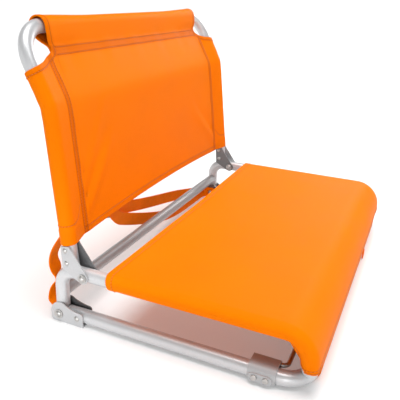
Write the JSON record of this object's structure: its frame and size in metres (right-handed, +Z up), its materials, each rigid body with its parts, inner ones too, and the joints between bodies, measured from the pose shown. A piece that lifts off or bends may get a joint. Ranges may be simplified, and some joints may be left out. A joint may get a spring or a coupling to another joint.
{
  "type": "folding stadium seat",
  "caption": "Low folding stadium seat: bent tube frame, laced orange cloth seat, sleeved cloth backrest that folds forward on riveted hinges, carry strap and swinging wire bench hooks.",
  "frame": {"origin": "on the bench, under the middle of the seat's box (carry strap left out)", "axes": "+Z up from the bench, the sitter faces -Y, the sitter's left is +X"},
  "size_m": [0.482, 0.3508, 0.3367],
  "materials": {
    "frame_paint": "satin silver-grey",
    "plate_paint": "satin silver-grey",
    "rivet_steel": "plated",
    "wire_steel": "plated",
    "plug_plastic": "grey, moulded",
    "seat_fabric": "woven orange cloth",
    "strap_webbing": "woven orange webbing",
    "lace_cord": "round braided cord",
    "eyelet_steel": "pressed"
  },
  "bodies": {
    "base": {"base_frame": "frame_paint", "seat_side_tube_left": "frame_paint", "seat_side_tube_right": "frame_paint", "rear_cross_bar": "frame_paint", "lower_bracket_left": "plate_paint", "lower_bracket_right": "plate_paint", "hook_clamp_left": "plate_paint", "hook_clamp_right": "plate_paint", "leg_plug_left": "plug_plastic", "leg_plug_right": "plug_plastic", "strap_slider": "plug_plastic", "lower_rivets": "rivet_steel", "lower_washers": "rivet_steel", "rail_rivets": "rivet_steel", "hinge_pivots": "rivet_steel", "hinge_washers": "rivet_steel", "clamp_screws": "rivet_steel", "seat_cover": "seat_fabric", "front_tab": "seat_fabric", "carry_strap": "strap_webbing", "strap_tail": "strap_webbing", "seat_lace": "lace_cord", "rear_lace": "lace_cord", "lace_eyelets": "eyelet_steel"},
    "backrest": {"back_frame": "frame_paint", "hinge_plate_outer_left": "plate_paint", "hinge_plate_outer_right": "plate_paint", "hinge_plate_inner_left": "plate_paint", "hinge_plate_inner_right": "plate_paint", "hinge_rivets": "rivet_steel", "upright_plug_left": "plug_plastic", "upright_plug_right": "plug_plastic", "back_cover": "seat_fabric"},
    "hook_left": {"hook_wire_left": "wire_steel", "hook_tip_left": "plug_plastic"},
    "hook_right": {"hook_wire_right": "wire_steel", "hook_tip_right": "plug_plastic"}
  },
  "joints": [
    {"name": "backrest_fold", "type": "hinge", "parent": "base", "child": "backrest", "pos_m": [0, 0.08699, 0.0643], "axis": [1, 0, 0], "range_deg": [0, 93]},
    {"name": "hook_left_swing", "type": "hinge", "parent": "base", "child": "hook_left", "pos_m": [0.2161, 0.12189, 0.0151], "axis": [0, -1, 0], "range_deg": [0, 90]},
    {"name": "hook_right_swing", "type": "hinge", "parent": "base", "child": "hook_right", "pos_m": [-0.2161, 0.12189, 0.0151], "axis": [0, 1, 0], "range_deg": [0, 90]}
  ]
}
